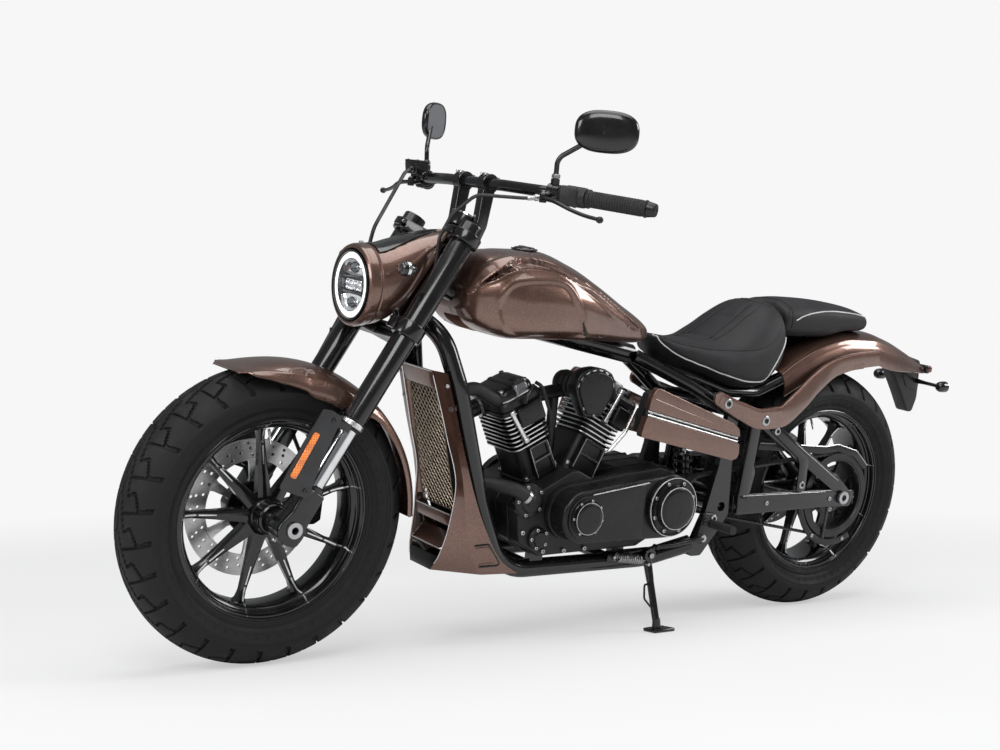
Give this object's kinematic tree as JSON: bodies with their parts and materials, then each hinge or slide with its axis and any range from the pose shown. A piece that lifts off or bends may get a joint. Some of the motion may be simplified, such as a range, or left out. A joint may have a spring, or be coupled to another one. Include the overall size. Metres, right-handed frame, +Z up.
{
  "type": "cruiser motorcycle",
  "caption": "Low cruiser motorcycle with an air-cooled-looking V engine, cast wheels, pulled-back handlebar, teardrop tank and scooped seat, leaning on its side stand.",
  "frame": {"origin": "middle of the bounding box, at the ground under the tyres and the stand's foot", "axes": "+X forward along the motorcycle, +Y to the rider's left, +Z up; the motorcycle leans 9.5 degrees to +Y about X"},
  "size_m": [2.3399, 0.8898, 1.2685],
  "materials": {
    "tyre": "matt black rubber with a moulded tread",
    "wheel": "gloss black cast aluminium with bright spoke flanks",
    "disc": "ground steel",
    "steel": "zinc-plated steel",
    "fork_black": "gloss black",
    "paint": "gloss metallic bronze brown",
    "frame_black": "gloss black powder coat",
    "engine_black": "satin black",
    "cover_black": "gloss black",
    "black_plastic": "matt black plastic",
    "guard_grey": "dark grey plastic",
    "lamp": "clear lens over a dark reflector",
    "smoke_lamp": "smoked red lens",
    "amber_lamp": "amber lens in a black housing",
    "rubber": "ribbed black rubber",
    "seat": "dark grey grained leather with light piping",
    "mirror": "silvered glass in a black shell",
    "belt": "toothed black belt",
    "exhaust": "heat-proof satin black",
    "core": "black fins and tubes"
  },
  "bodies": {
    "root": {"rear_axle": "steel", "frame": "frame_black", "engine_cases": "engine_black", "front_cylinder": "engine_black", "rear_cylinder": "engine_black", "primary_cover": "cover_black", "right_engine_cover": "cover_black", "intake_cover": "cover_black", "radiator": "core", "radiator_cowl": "paint", "grille": "black_plastic", "fuel_tank": "paint", "fuel_cap": "cover_black", "rider_seat": "seat", "pillion_seat": "seat", "rear_fender": "paint", "fender_struts": "paint", "tail_bracket": "black_plastic", "tail_lamps": "smoke_lamp", "side_covers": "paint", "swingarm": "frame_black", "rear_shock": "steel", "drive_belt": "belt", "exhaust_headers": "exhaust", "silencers": "exhaust", "foot_controls": "cover_black", "stand_bracket": "frame_black"},
    "steering": {"yokes": "fork_black", "fork_leg_left": "fork_black", "fork_leg_right": "fork_black", "fork_guards": "guard_grey", "front_fender": "paint", "front_caliper": "cover_black", "headlamp_nacelle": "paint", "headlamp": "lamp", "front_indicators": "amber_lamp", "gauge": "black_plastic", "handlebar": "frame_black", "risers": "fork_black", "grips": "rubber", "hand_controls": "black_plastic", "mirrors": "mirror", "front_axle": "steel"},
    "front_wheel": {"front_rim": "wheel", "front_tyre": "tyre", "front_disc": "disc"},
    "rear_wheel": {"rear_rim": "wheel", "rear_tyre": "tyre", "rear_disc": "disc", "rear_pulley": "wheel"},
    "stand": {"side_stand": "frame_black"}
  },
  "joints": [
    {"name": "steering", "type": "hinge", "parent": "root", "child": "steering", "pos_m": [0.49612, -0.03693, 0.80077], "axis": [-0.515, 0.1415, 0.8454], "range_deg": [-30, 30]},
    {"name": "front_wheel", "type": "hinge", "parent": "steering", "child": "front_wheel", "pos_m": [0.848, -0.11757, 0.31893], "axis": [0, 0.9863, -0.165], "continuous": true},
    {"name": "rear_wheel", "type": "hinge", "parent": "root", "child": "rear_wheel", "pos_m": [-0.742, -0.11757, 0.31893], "axis": [0, 0.9863, -0.165], "continuous": true},
    {"name": "side_stand", "type": "hinge", "parent": "root", "child": "stand", "pos_m": [-0.117, -0.00669, 0.18174], "axis": [0, 0.9863, -0.165], "range_deg": [0, 72]}
  ]
}
